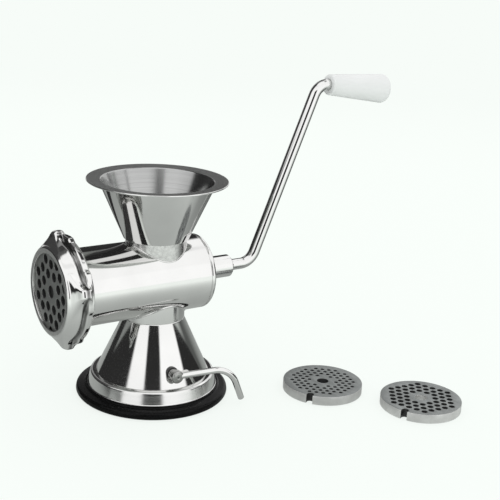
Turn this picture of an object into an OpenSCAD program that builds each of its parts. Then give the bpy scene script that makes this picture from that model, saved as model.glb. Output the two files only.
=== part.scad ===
// Hand crank meat grinder on a suction base, with two spare grinding plates.
// Millimetres, +Z up. The origin is the centre of the base on the table.
// The barrel lies along Y: the grinding plate faces -Y and the crank is at +Y.

/* [Barrel] */
// Height of the barrel's axis above the table
barrel_z = 91; // [80:1:110]
// Outer diameter of the barrel tube
barrel_d = 57; // [54:1:60]
// Wall of the barrel tube
barrel_wall = 2.5; // [1.5:0.5:3]
// Distance from the base's centre to the rear end of the barrel
barrel_rear = 37; // [30:1:50]
// Distance from the base's centre to the seat of the grinding plate
seat_front = 76.6; // [70:0.2:90]
// Radius that rounds the barrel's rear edge
rear_edge_r = 4; // [2:0.5:6]

/* [Rear boss] */
// Diameter of the bearing boss behind the barrel
boss_d = 17.4; // [16:0.2:22]
// Length of the boss behind the barrel
boss_len = 29; // [20:1:40]
// Chamfer at the boss's end
boss_chamfer = 1.6; // [0.5:0.1:2.5]

/* [Plates] */
// Diameter of the grinding plates
plate_d = 62; // [60:0.5:64]
// Thickness of the grinding plates
plate_t = 7; // [5:0.5:9]
// Diameter of the centre hole in each plate
plate_bore = 9; // [8:0.5:10]
// Width of the notch in a plate's edge
notch_w = 5; // [3:0.5:6]
// Depth of the notch in a plate's edge
notch_d = 2.6; // [2:0.2:3.5]
// Hole diameter in the coarse plate
coarse_hole = 7; // [5:0.5:7.5]
// Hole diameter in the medium plate
medium_hole = 4.5; // [3.5:0.1:5]
// Distance between hole centres in the medium plate
medium_pitch = 6.3; // [6:0.1:6.4]
// Hole diameter in the fine plate
fine_hole = 3; // [2.5:0.1:4]
// Distance between hole centres in the fine plate
fine_pitch = 5.25; // [5:0.05:5.5]

/* [Ring nut] */
// Diameter of the opening in the nut's front
nut_open_d = 55.4; // [50:0.2:57]
// Thickness of the nut's front lip
lip_t = 2; // [1.5:0.5:4]
// Diameter of the nut at its front edge
nut_front_d = 66.4; // [66:0.2:70]
// Diameter of the nut's skirt at its rear
nut_rear_d = 72; // [70:0.5:78]
// Radius over the tips of the lugs
lug_tip_r = 43; // [40:0.5:48]
// Length of the thread that holds the nut
thread_len = 9.6; // [8:0.2:12]
// Advance of the nut in one turn
thread_pitch = 2.4; // [1.5:0.1:3]
// Turn of the nut that places its lugs, in degrees
nut_turn = 13; // [0:1:89]

/* [Hopper] */
// Diameter of the hopper's neck
neck_d = 45; // [40:1:47]
// Wall of the neck
neck_wall = 1.5; // [1:0.25:2]
// Height of the seam between the neck and the funnel
seam_z = 121.6; // [120:0.2:130]
// Outer diameter of the funnel at the seam
funnel_low_d = 48.4; // [48:0.2:52]
// Diameter of the funnel inside the rim
funnel_top_d = 83.2; // [76:0.2:90]
// Outer diameter of the rim
rim_d = 104; // [96:1:120]
// Height of the rim's outer edge
rim_z = 165.7; // [155:0.1:180]
// Rise of the rim from its inner to its outer edge
rim_rise = 0.9; // [0.2:0.1:2]
// Thickness of the hopper's sheet
sheet = 1.2; // [1:0.1:1.5]

/* [Pedestal] */
// Diameter of the pedestal under the barrel
ped_d = 46; // [42:1:48]
// Height where the pedestal begins to flare
flare_z = 60.8; // [58:0.2:61]
// Diameter of the pedestal cone at its foot
foot_d = 85.4; // [80:0.2:88]
// Height of the cone's foot
foot_z = 17.2; // [15:0.2:20]
// Wall of the pedestal
ped_wall = 1.5; // [1:0.25:2]
// Diameter of the base flange's shelf
shelf_d = 93.4; // [92:0.2:96]
// Diameter of the base flange's lip
lip_d = 99; // [98:0.5:104]
// Height of the lip's underside, which is the thickness of the rubber pad
pad_t = 6; // [5:0.5:8]
// Thickness of the base flange's lip
lip_h = 2; // [1.5:0.25:3]
// How far the rubber suction pad reaches beyond the lip
pad_reach = 8.7; // [7:0.1:15]
// Height of the pad's bead around the lip
bead_h = 2.2; // [1:0.2:3]

/* [Suction lock] */
// Height of the lever's shaft
shaft_z = 27.8; // [27.5:0.1:29]
// Offset of the lever's shaft towards the front
shaft_off = 4.6; // [3:0.1:6]
// Diameter of the lever's shaft
shaft_d = 8; // [6:0.5:9]
// Throw of the cam on the shaft
cam_throw = 3; // [2:0.25:3]
// Gap between the shaft's bush and the lever's hub
hub_gap = 0.5; // [0.3:0.1:6]
// Diameter of the lever's hub
hub_d = 9.8; // [9:0.2:12]
// Diameter of the lever's rod
rod_d = 4.8; // [4:0.2:6]
// Outward splay of the lever, in degrees
splay = 12; // [8:1:20]
// Rise of the lever's straight part, in degrees
lever_rise = 3; // [0:1:6]
// Length of the lever's straight part
lever_len = 29; // [26:1:50]
// Bend radius of the lever
lever_bend = 18.3; // [15:0.1:19]
// Turn of the lever's bend, in degrees
lever_turn = 72; // [60:1:75]
// Length of the lever's tip behind the bend
lever_tip = 14.6; // [8:0.2:15]

/* [Crank] */
// Diameter of the crank's rod
crank_d = 8.7; // [8:0.1:9]
// Distance from the base's centre to the crank's lower corner
crank_y = 86.2; // [82:0.2:110]
// Distance between the crank's two corners
arm_len = 150.2; // [120:0.2:200]
// Lean of the arm away from the barrel, in degrees
arm_lean = 21.9; // [10:0.1:30]
// Bend radius of the lower corner
low_bend = 14; // [11:0.5:16]
// Bend radius of the upper corner
top_bend = 12.5; // [11:0.5:14]
// Droop of the grip below the level, in degrees
grip_droop = 4.9; // [0:0.1:10]
// Distance from the upper corner to the grip's near end
grip_start = 10; // [9.6:0.2:20]
// Length of the grip
grip_len = 57.4; // [50:0.2:90]
// Diameter of the grip at its near end
grip_near_d = 16.2; // [15.6:0.2:20]
// Diameter of the grip at its far end
grip_far_d = 23.6; // [21:0.2:28]

/* [Worm] */
// Gap between the worm and the barrel's bore
worm_gap = 0.8; // [0.4:0.1:1.2]
// Diameter of the worm's core
worm_core_d = 20; // [18:1:24]
// Advance of the worm's flight in one turn
worm_pitch = 36; // [30:1:45]
// Thickness of the knife
knife_t = 7; // [6:0.5:9]
// Diameter swept by the knife
knife_d = 49; // [44:0.5:50]

/* [Spare plates] */
// Place of the fine plate's centre on the table, X
fine_x = 63.1; // [61:0.1:80]
// Place of the fine plate's centre on the table, Y
fine_y = 118.1; // [112:0.1:150]
// Place of the medium plate's centre on the table, X
medium_x = 123.2; // [122:0.1:140]
// Place of the medium plate's centre on the table, Y
medium_y = 166.8; // [165:0.1:190]

/* [Hidden] */

// Clearances
run_fit = 0.08;      // shaft in a bush, radial
slide_fit = 0.1;     // plate in its seat, nut on its thread, radial
face_gap = 0.3;      // end play between turning faces
cut = 1;             // how far a cutting shape runs past a face
smooth = 96;         // sides of a large round shape
fine_fn = 48;        // sides of a small round shape

// Barrel
barrel_r = barrel_d / 2;
bore_r = barrel_r - barrel_wall;
throat_r = neck_d / 2 - neck_wall;
cap_t = barrel_wall;
cap_y = barrel_rear - cap_t;
tube_rear = barrel_rear - rear_edge_r;

// Plates and nut, measured from the plate's seat towards the front
plate_r = plate_d / 2;
pocket_r = plate_r + slide_fit;
seat_depth = 3;
collar_front = seat_front + seat_depth;
collar_wall = 2.1;
thread_r = pocket_r + collar_wall;
thread_depth = 0.7;
collar_rear = collar_front - thread_len;
nut_bore_r = thread_r + slide_fit;
lip_y = seat_front + plate_t;
nut_front = lip_y + lip_t;
nut_rear = collar_rear - 0.6;
open_r = nut_open_d / 2;
nut_round = 1.8;     // rounding of the nut's front edge
flange_t = 4.2;
flange_step = 1;
flange_round = 0.7;
groove_y = nut_rear + flange_t + 1.1;
groove_r = nut_rear_d / 2 - 1.6;
groove_round = 0.5;
crown_y = groove_y + 2.3;
crown_r = nut_rear_d / 2 - 0.4;
crown_fall = 0.3;
crown_w = 3;
lug_base_r = nut_rear_d / 2 - 5;
lug_base_w = 26;
lug_tip_w = 7;
lug_front = nut_rear + 10;
lug_hollow = 9.4;    // radius of a lug's hollow flanks
lugs = 4;
bore_chamfer = 0.3;
edge_chamfer = 0.5;
coarse_rings = [[13.1, 22.5], [20.2, 0], [23.6, 22.5]];
coarse_count = 8;
fine_notch = -57;
fine_turn = -14;
fine_near = 4;
fine_far = 21;
medium_notch = -67;
medium_turn = 22.5;
medium_near = 3;
medium_far = 16;
grid_reach = 5;
hole_fn = 24;
key_d = seat_depth - 2 * slide_fit;
key_root = 1.2;
thread_half = 0.5;

// Rear boss, bush and drive shaft
drive_r = 6;
bush_wall = 1.2;
boss_end = barrel_rear + boss_len;
mouth_depth = 6;
shaft_end = boss_end - mouth_depth;
mouth_r = crank_d / 2 + face_gap;
boss_bore_r = drive_r + bush_wall;
socket_r = 3;
socket_len = 14;
washer_t = 1.5;
bush_short = 1;
worm_rear = cap_y - washer_t - face_gap;
knife_rear = seat_front - knife_t;
stud_square = 9;
knife_hub_r = 9;
stud_r = plate_bore / 2 - run_fit;
stud_short = 1.2;
stud_front = lip_y - stud_short;
knife_turn = 30;
knife_heel = 7;
knife_waist = 12;

// Hopper
slope = (funnel_top_d / 2 - funnel_low_d / 2) / (rim_z - rim_rise - seam_z);
sheet_x = sheet * sqrt(1 + slope * slope);

// Pedestal
ped_slope = (foot_d - ped_d) / 2 / (flare_z - foot_z);
lip_lap = 2.6;
lip_ledge = 0.6;
flange_in = lip_d / 2 - lip_lap;
wall_out = lip_d / 2 - lip_ledge;
lip_top = pad_t + lip_h;
lip_step = 0.5;
shelf_round = 0.4;
shelf_lap = 2.5;

// Rubber pad and the dish over it
pad_r = lip_d / 2 + pad_reach;
pad_edge_r = 3;
bead_gap = 0.2;
bead_in = lip_d / 2 + bead_gap;
bead_w = 1;
dish_land = 10.9;
dish_flat = 26;
dish_skew = 0.8;

// Suction lock
cam_cover = 0.5;
cam_r = shaft_d / 2 + cam_throw + cam_cover;
cam_gap = 0.8;
cam_len = 12;
yoke_t = 9;
yoke_wall = 2.6;
cam_z = shaft_z - cam_throw;
stem_r = 4;
disc_r = 12;
disc_t = 2;
floor_t = 2.5;
dish_t = 1.5;
yoke_low = cam_z - cam_r - cam_gap - yoke_wall;
dish_gap = 0.7;
dish_top = yoke_low - dish_gap;
bush_t = 2;
wall_x = foot_d / 2 - ped_slope * (shaft_z - foot_z);
bush_len = 8;
bush_in = wall_x - bush_len;
bush_flange = 1.6;
hub_len = 8;
hub_x = wall_x + bush_flange + hub_gap + hub_len / 2;
hub_chamfer = 0.8;
hub_round = 2;
hub_crown = 1;
clip_t = 1;
clip_ring = 2;
shaft_tail = 1.5;
lever_fn = 20;

// Crank
crank_r = crank_d / 2;
arm_dir = 90 - arm_lean;
top_turn = arm_dir + grip_droop;
low_cut = low_bend * tan(arm_dir / 2);
top_cut = top_bend * tan(top_turn / 2);
grip_bore_r = crank_r + run_fit;
counterbore_r = 7;
counterbore_d = 6;
screw_r = 2;
screw_len = 11;
screw_head_r = 4;
screw_top_r = 3.2;
screw_head_h = 2.4;
slot_len = 4.8;
slot_w = 1;
slot_d = 1.2;
crank_fn = 24;
grip_near_round = 1.5;
spindle_end = grip_start + grip_len - counterbore_d + face_gap;
grip_washer_t = 1.2;
grip_round = 3.5;
grip_draft = 0.3;

// Worm
worm_r = bore_r - worm_gap;
worm_len = knife_rear + worm_rear;
flight_half = 24;
flight_root = 52;
worm_steps = 76;
worm_sides = 26;

// A cylinder along +Y from y0 to y1, on the barrel's axis.
module along_y(r, y0, y1, fn = smooth) {
    translate([0, y0, barrel_z]) rotate([-90, 0, 0]) cylinder(r = r, h = y1 - y0, $fn = fn);
}

// A turned shape on the barrel's axis: points are [radius, y].
module turned_y(points, fn = smooth) {
    translate([0, 0, barrel_z]) rotate([-90, 0, 0]) rotate_extrude($fn = fn) polygon(points);
}

// A quarter round in a turned outline, centred at c, from angle a0 to a1.
function round_edge(c, r, a0, a1, n = 6) =
    [for (i = [0:n]) c + r * [cos(a0 + (a1 - a0) * i / n), sin(a0 + (a1 - a0) * i / n)]];

// A point on a rod's centre line is [x, y, heading]. One step straight ahead:
function ahead(p, d) = [p[0] + d * cos(p[2]), p[1] + d * sin(p[2]), p[2]];

// The points along a bend of radius r that turns by `turn` degrees.
function bend(p, r, turn, n = 12) = [
    for (i = [1:n])
        let (side = sign(turn) * r, a = p[2] + turn * i / n)
        [p[0] + side * (sin(a) - sin(p[2])), p[1] + side * (cos(p[2]) - cos(a)), a]
];

// A round rod along flat centre-line points.
module bent_rod(line, r, sides) {
    last = len(line) - 1;
    polyhedron(
        points = [
            for (p = line, k = [0:sides - 1])
                let (out = r * cos(360 * k / sides))
                [p[0] - out * sin(p[2]), p[1] + out * cos(p[2]), r * sin(360 * k / sides)]
        ],
        faces = concat(
            [[for (k = [0:sides - 1]) k]],
            [for (i = [0:last - 1], k = [0:sides - 1])
                let (next = (k + 1) % sides)
                [i * sides + k, (i + 1) * sides + k, (i + 1) * sides + next, i * sides + next]],
            [[for (k = [sides - 1:-1:0]) last * sides + k]]
        )
    );
}

// ---------------------------------------------------------------- pedestal

module pedestal_cone() color("silver") difference() {
    rotate_extrude($fn = smooth) polygon([
        [ped_d / 2, flare_z],
        [foot_d / 2, foot_z],
        [foot_d / 2 - ped_wall, foot_z],
        [ped_d / 2 - ped_wall, flare_z]
    ]);
    along_x(shaft_d / 2 + bush_t, -foot_d, foot_d);
}

module pedestal_neck() color("silver") difference() {
    translate([0, 0, flare_z]) cylinder(d = ped_d, h = barrel_z - flare_z, $fn = smooth);
    translate([0, 0, flare_z - cut])
        cylinder(r = ped_d / 2 - ped_wall, h = barrel_z - flare_z + 2 * cut, $fn = smooth);
    along_y(barrel_r, -ped_d, ped_d);
}

module base_flange() color("gainsboro") rotate_extrude($fn = smooth) polygon([
    [flange_in, pad_t],
    [lip_d / 2, pad_t],
    [lip_d / 2, lip_top],
    [wall_out, lip_top + lip_step],
    [shelf_d / 2 + shelf_round, foot_z - 2 * shelf_round],
    [shelf_d / 2 - shelf_round, foot_z],
    [foot_d / 2 - shelf_lap, foot_z],
    [foot_d / 2 - shelf_lap, foot_z - ped_wall],
    [shelf_d / 2 - ped_wall, foot_z - ped_wall],
    [wall_out - ped_wall - lip_step, lip_top + lip_step],
    [flange_in, lip_top - shelf_round]
]);

module backing_dish() color("darkgray") difference() {
    rotate_extrude($fn = smooth) polygon([
        [0, dish_top - dish_t],
        [dish_flat, dish_top - dish_t],
        [flange_in - dish_land, pad_t],
        [flange_in, pad_t],
        [flange_in, pad_t + dish_t],
        [flange_in - dish_land + dish_skew, pad_t + dish_t],
        [dish_flat + dish_skew, dish_top],
        [0, dish_top]
    ]);
    cylinder(r = stem_r + slide_fit, h = 2 * dish_top, $fn = fine_fn);
}

module suction_pad() color([0.05, 0.05, 0.05]) difference() {
    rotate_extrude($fn = smooth) polygon(concat(
        [[0, 0]],
        round_edge([pad_r - pad_edge_r, pad_edge_r], pad_edge_r, -90, 50),
        [
            [bead_in + bead_w, pad_t + bead_h],
            [bead_in, pad_t + bead_h],
            [bead_in, pad_t],
            [0, pad_t]
        ]
    ));
    translate([0, 0, floor_t]) cylinder(r = disc_r + face_gap, h = pad_t, $fn = smooth);
}

// ---------------------------------------------------------------- barrel

module barrel_tube() color("silver") difference() {
    along_y(barrel_r, -seat_front, tube_rear);
    along_y(bore_r, -seat_front - cut, tube_rear + cut);
    translate([0, 0, barrel_z]) cylinder(r = throat_r, h = barrel_d, $fn = smooth);
}

// The pressed end cap: its rounded shoulder meets the tube's end.
module barrel_end_cap() color("silver") difference() {
    turned_y(concat(
        [[0, barrel_rear], [boss_bore_r, barrel_rear]],
        [for (p = round_edge([barrel_r - rear_edge_r, tube_rear], rear_edge_r, 90, 0)) p],
        [[bore_r, tube_rear], [bore_r, cap_y], [0, cap_y]]
    ));
    along_y(boss_bore_r, cap_y - cut, barrel_rear + cut, fine_fn);
}

module rear_boss() color("gainsboro") turned_y([
    [boss_bore_r, barrel_rear],
    [boss_d / 2, barrel_rear],
    [boss_d / 2, boss_end - boss_chamfer],
    [boss_d / 2 - boss_chamfer, boss_end],
    [mouth_r, boss_end],
    [mouth_r, shaft_end + face_gap],
    [boss_bore_r, shaft_end + face_gap]
], fine_fn);

module rear_bush() color("ivory") turned_y([
    [drive_r + run_fit, cap_y],
    [boss_bore_r, cap_y],
    [boss_bore_r, shaft_end - bush_short],
    [drive_r + run_fit, shaft_end - bush_short]
], fine_fn);

module thrust_washer() color("ivory") turned_y([
    [drive_r + run_fit, cap_y - washer_t],
    [worm_core_d / 2, cap_y - washer_t],
    [worm_core_d / 2, cap_y],
    [drive_r + run_fit, cap_y]
], fine_fn);

// The threaded collar around the tube's front end, with the plate's pocket.
module thread_collar() color("silver") difference() {
    along_y(thread_r, -collar_front, -collar_rear);
    along_y(pocket_r, -collar_front - cut, -seat_front);
    along_y(barrel_r, -collar_front - cut, -collar_rear + cut);
    key_pin();
    for (k = [1:floor(thread_len / thread_pitch) - 1])
        turned_y([
            [thread_r + cut, -collar_front + k * thread_pitch - thread_half - cut / 2],
            [thread_r - thread_depth, -collar_front + k * thread_pitch],
            [thread_r + cut, -collar_front + k * thread_pitch + thread_half + cut / 2]
        ]);
}

// The pin that stands in the plate's notch and stops it turning.
module key_pin() translate([0, -seat_front - seat_depth / 2, barrel_z - pocket_r - key_root])
    cylinder(d = key_d, h = key_root + notch_d - 2 * slide_fit, $fn = fine_fn);

module plate_key() color("gainsboro") key_pin();

// ---------------------------------------------------------------- hopper

module hopper_neck() color("silver") difference() {
    translate([0, 0, barrel_z]) cylinder(d = neck_d, h = seam_z - barrel_z, $fn = smooth);
    translate([0, 0, barrel_z - cut]) cylinder(r = throat_r, h = neck_d, $fn = smooth);
    along_y(barrel_r, -neck_d, neck_d);
}

module hopper_funnel() color("lightgray") rotate_extrude($fn = smooth) polygon([
    [throat_r, seam_z],
    [funnel_low_d / 2, seam_z],
    [funnel_top_d / 2 + sheet_x, rim_z - rim_rise - sheet],
    [rim_d / 2, rim_z - sheet],
    [rim_d / 2, rim_z],
    [funnel_top_d / 2, rim_z - rim_rise],
    [funnel_low_d / 2 - sheet_x + sheet * slope, seam_z + sheet],
    [throat_r, seam_z + sheet]
]);

// ---------------------------------------------------------------- suction lock

// A cylinder along +X on the lever shaft's axis.
module along_x(r, x0, x1, z = shaft_z) {
    translate([x0, -shaft_off, z]) rotate([0, 90, 0]) cylinder(r = r, h = x1 - x0, $fn = fine_fn);
}

module lever_bushes() color("dimgray") for (side = [0, 1]) mirror([side, 0, 0]) difference() {
    along_x(shaft_d / 2 + bush_t, bush_in, wall_x + bush_flange);
    along_x(shaft_d / 2 + run_fit, bush_in - cut, wall_x + bush_flange + cut);
}

module lever_shaft() color("gainsboro") {
    along_x(shaft_d / 2, -wall_x - bush_flange - clip_t - shaft_tail, hub_x - hub_len / 2);
    along_x(cam_r, -cam_len / 2, cam_len / 2, cam_z);
}

module shaft_clip() color("dimgray") difference() {
    along_x(shaft_d / 2 + clip_ring, -wall_x - bush_flange - clip_t, -wall_x - bush_flange);
    along_x(shaft_d / 2, -wall_x - bush_flange - clip_t - cut, -wall_x - bush_flange + cut);
}

module lever_hub() color("silver") difference() {
    translate([hub_x, -shaft_off, shaft_z]) rotate([0, 90, 0]) rotate_extrude($fn = fine_fn)
        polygon(concat(
            [
                [0, -hub_len / 2],
                [hub_d / 2 - hub_chamfer, -hub_len / 2],
                [hub_d / 2, -hub_len / 2 + hub_chamfer]
            ],
            round_edge([hub_d / 2 - hub_round, hub_len / 2 - hub_round + hub_chamfer], hub_round, 0, 75),
            [[0, hub_len / 2 + hub_crown]]
        ));
    on_lever() rotate([0, 90, 0]) cylinder(d = rod_d, h = hub_d, $fn = fine_fn);
}

// Places children with +X along the lever's straight part, from the hub's centre.
module on_lever() translate([hub_x, -shaft_off, shaft_z]) rotate([0, 0, 90 - splay])
    rotate([90, 0, 0]) rotate([0, 0, lever_rise]) children();

// The lever's rod: straight, one bend downwards, then the tip.
module lever_rod() {
    start = [0, 0, 0];
    bent = bend(ahead(start, lever_len), lever_bend, -lever_turn);
    tip = ahead(bent[len(bent) - 1], lever_tip);
    color("silver") on_lever()
        bent_rod(concat([start, ahead(start, lever_len)], bent, [tip]), rod_d / 2, lever_fn);
}

module pull_yoke() color("darkgray") {
    window_h = 2 * (cam_r + cam_gap);
    window_w = 2 * (cam_r + cam_throw + cam_gap);
    difference() {
        translate([-yoke_t / 2, -shaft_off - window_w / 2 - yoke_wall, yoke_low])
            cube([yoke_t, window_w + 2 * yoke_wall, window_h + 2 * yoke_wall]);
        translate([-yoke_t, -shaft_off - window_w / 2, yoke_low + yoke_wall])
            cube([2 * yoke_t, window_w, window_h]);
    }
    translate([0, 0, floor_t + disc_t])
        cylinder(r = stem_r, h = yoke_low - floor_t - disc_t + yoke_wall / 2, $fn = fine_fn);
}

module pull_disc() color("darkgray")
    translate([0, 0, floor_t]) cylinder(r = disc_r, h = disc_t, $fn = smooth);

// ---------------------------------------------------------------- drive

module drive_shaft() color("silver") difference() {
    along_y(drive_r, worm_rear, shaft_end, fine_fn);
    along_y(socket_r, shaft_end - socket_len, shaft_end + cut, fine_fn);
}

// Radius of the worm's outline at angle a: a core with one tapering flight.
function worm_outline(a) =
    let (d = abs(a))
    d < flight_half ? worm_r :
    d < flight_root ? worm_r - (worm_r - worm_core_d / 2) * (d - flight_half) / (flight_root - flight_half) :
    worm_core_d / 2;

module worm() color("silver") translate([0, -knife_rear, barrel_z]) rotate([-90, 0, 0])
    linear_extrude(height = worm_len, twist = 360 * worm_len / worm_pitch, slices = worm_steps)
        polygon([for (i = [0:worm_sides - 1])
            let (a = -180 + 360 * i / worm_sides) worm_outline(a) * [cos(a), sin(a)]]);

// The stud in the worm's nose: a square for the knife, then a round journal in the plate.
module worm_stud() color("gainsboro") {
    translate([-stud_square / 2, -seat_front, barrel_z - stud_square / 2])
        cube([stud_square, knife_t, stud_square]);
    along_y(stud_r, -stud_front, -seat_front, fine_fn);
}

// One wing of the knife as [radius, angle]: a straight cutting edge and a hollow back.
knife_wing = [
    [knife_hub_r, 0], [knife_d / 2, 8], [knife_d / 2, 17], [knife_d / 2, 26],
    [knife_d / 2 - knife_heel, 36], [knife_d / 2 - knife_waist, 50], [knife_hub_r, 70]
];

module knife() color("silver") translate([0, -seat_front, barrel_z]) rotate([-90, 0, 0])
    linear_extrude(height = knife_t) difference() {
        polygon([for (k = [0:3], p = knife_wing)
            let (a = 90 * k + knife_turn + p[1])
            p[0] * [cos(a), sin(a)]]);
        square(stud_square + 2 * run_fit, center = true);
    }

// The crank's rod: out of the shaft, up the arm, then along the grip's axis.
module crank_arm() {
    start = [0, 0, 0];
    low = bend(ahead(start, crank_y - low_cut - shaft_end), low_bend, arm_dir);
    high = bend(ahead(low[len(low) - 1], arm_len - low_cut - top_cut), top_bend, -top_turn);
    end = ahead(high[len(high) - 1], spindle_end - top_cut);
    line = concat([start, ahead(start, crank_y - low_cut - shaft_end)], low,
        [ahead(low[len(low) - 1], arm_len - low_cut - top_cut)], high, [end]);
    color("silver") difference() {
        union() {
            translate([0, shaft_end, barrel_z]) rotate([90, 0, 90]) bent_rod(line, crank_r, crank_fn);
            along_y(socket_r, shaft_end - socket_len, shaft_end + cut, fine_fn);
        }
        on_grip_axis() translate([0, 0, spindle_end - screw_len])
            cylinder(r = screw_r, h = screw_len + cut, $fn = fine_fn);
    }
}

// Places children with +Z along the grip's axis, from the crank's upper corner.
module on_grip_axis() {
    corner_y = crank_y + arm_len * cos(arm_dir);
    corner_z = barrel_z + arm_len * sin(arm_dir);
    translate([0, corner_y, corner_z]) rotate([-90 - grip_droop, 0, 0]) children();
}

module grip() color("white") on_grip_axis() translate([0, 0, grip_start]) {
    near_r = grip_near_d / 2;
    far_r = grip_far_d / 2;
    taper = atan((far_r - near_r) / grip_len);
    rotate_extrude($fn = smooth) polygon(concat(
        [[grip_bore_r, 0], [near_r - grip_near_round, 0]],
        round_edge([near_r - grip_near_round, grip_near_round], grip_near_round, -80, -taper, 4),
        round_edge([far_r - grip_round - grip_draft, grip_len - grip_round], grip_round, -taper, 88),
        [
            [counterbore_r, grip_len],
            [counterbore_r, grip_len - counterbore_d],
            [grip_bore_r, grip_len - counterbore_d]
        ]
    ));
}

module grip_washer() color("silver") on_grip_axis() translate([0, 0, spindle_end]) difference() {
    cylinder(r = counterbore_r - face_gap, h = grip_washer_t, $fn = fine_fn);
    translate([0, 0, -cut]) cylinder(r = screw_r, h = grip_washer_t + 2 * cut, $fn = fine_fn);
}

module grip_screw() color("gainsboro") on_grip_axis() translate([0, 0, spindle_end]) difference() {
    union() {
        translate([0, 0, -screw_len])
            cylinder(r = screw_r, h = screw_len + grip_washer_t, $fn = fine_fn);
        translate([0, 0, grip_washer_t])
            cylinder(r1 = screw_head_r, r2 = screw_top_r, h = screw_head_h, $fn = fine_fn);
    }
    for (a = [0, 90]) rotate([0, 0, a])
        translate([-slot_len / 2, -slot_w / 2, grip_washer_t + screw_head_h - slot_d])
            cube([slot_len, slot_w, slot_d + cut]);
}

// ---------------------------------------------------------------- plates and nut

// A blank plate lying on XY with its notch towards `notch`, pierced by its children.
module plate(notch) difference() {
    rotate_extrude($fn = smooth) polygon([
        [plate_bore / 2, bore_chamfer],
        [plate_bore / 2 + bore_chamfer, 0],
        [plate_r - edge_chamfer, 0],
        [plate_r, edge_chamfer],
        [plate_r, plate_t - edge_chamfer],
        [plate_r - edge_chamfer, plate_t],
        [plate_bore / 2 + bore_chamfer, plate_t],
        [plate_bore / 2, plate_t - bore_chamfer]
    ]);
    rotate([0, 0, notch]) translate([plate_r - notch_d, 0, -cut]) {
        cylinder(d = notch_w, h = plate_t + 2 * cut, $fn = fine_fn);
        translate([0, -notch_w / 2, 0]) cube([2 * notch_d, notch_w, plate_t + 2 * cut]);
    }
    children();
}

module hole(x, y, d) translate([x, y, -cut]) cylinder(d = d, h = plate_t + 2 * cut, $fn = hole_fn);

// Holes on a triangular grid, between two squared distances counted in grid steps.
module hole_grid(pitch, d, near, far) {
    for (q = [-grid_reach:grid_reach], r = [-grid_reach:grid_reach]) {
        n = q * q + r * r + q * r;
        if (n >= near && n <= far) hole(pitch * (q + r / 2), pitch * r * sqrt(3) / 2, d);
    }
}

module coarse_plate() color("gray") translate([0, -seat_front, barrel_z]) rotate([90, 0, 0])
    plate(-90) for (ring = coarse_rings, k = [1:coarse_count])
        rotate([0, 0, ring[1] + 360 * k / coarse_count]) hole(ring[0], 0, coarse_hole);

module fine_plate() color("gray") translate([fine_x, fine_y, 0]) plate(fine_notch)
    rotate([0, 0, fine_turn]) hole_grid(fine_pitch, fine_hole, fine_near, fine_far);

module medium_plate() color("gray") translate([medium_x, medium_y, 0]) plate(medium_notch)
    rotate([0, 0, medium_turn]) hole_grid(medium_pitch, medium_hole, medium_near, medium_far);

// A lug seen along the barrel: it narrows to its tip between hollow flanks.
module lug_outline() difference() {
    intersection() {
        circle(r = lug_tip_r, $fn = smooth);
        polygon([
            [lug_base_r, -lug_base_w / 2], [lug_tip_r + 2 * cut, -lug_tip_w / 2],
            [lug_tip_r + 2 * cut, lug_tip_w / 2], [lug_base_r, lug_base_w / 2]
        ]);
    }
    for (side = [-1, 1])
        translate([lug_tip_r + 1.5 * cut, side * (lug_tip_w / 2 + lug_hollow + slide_fit)])
            circle(r = lug_hollow, $fn = smooth);
}

// The nut from its front lip: a crowned ring, a groove and a flange, with the lugs over all three.
module ring_nut() color("silver") difference() {
    union() {
        turned_y(concat(
            [[open_r - cut, -nut_front]],
            round_edge([nut_front_d / 2 - nut_round, -nut_front + nut_round], nut_round, -90, -8),
            [
                [crown_r - crown_fall, -crown_y - crown_w],
                [crown_r, -crown_y],
                [groove_r + groove_round, -groove_y - groove_round],
                [groove_r, -groove_y],
                [nut_rear_d / 2, -nut_rear - flange_t],
                [nut_rear_d / 2 + flange_step, -nut_rear - flange_t + flange_round],
                [nut_rear_d / 2 + flange_step, -nut_rear - flange_round],
                [nut_rear_d / 2, -nut_rear],
                [open_r - cut, -nut_rear]
            ]
        ));
        for (k = [0:lugs - 1]) translate([0, -lug_front, barrel_z]) rotate([-90, 0, 0])
            rotate([0, 0, -nut_turn + 360 * k / lugs])
                linear_extrude(height = lug_front - nut_rear - flange_round) lug_outline();
    }
    along_y(open_r, -nut_front - cut, -nut_rear + cut);
    along_y(pocket_r, -lip_y, -nut_rear + cut);
    along_y(nut_bore_r, -collar_front - thread_half, -nut_rear + cut);
}

// ---------------------------------------------------------------- assembly

pedestal_cone();
pedestal_neck();
base_flange();
backing_dish();
suction_pad();
barrel_tube();
barrel_end_cap();
rear_boss();
rear_bush();
thrust_washer();
thread_collar();
plate_key();
hopper_neck();
hopper_funnel();
lever_bushes();
lever_shaft();
lever_hub();
lever_rod();
shaft_clip();
pull_yoke();
pull_disc();
drive_shaft();
worm();
worm_stud();
knife();
crank_arm();
grip();
grip_washer();
grip_screw();
coarse_plate();
ring_nut();
fine_plate();
medium_plate();
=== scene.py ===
import math

import bmesh
import bpy
from mathutils import Matrix, Vector


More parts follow.
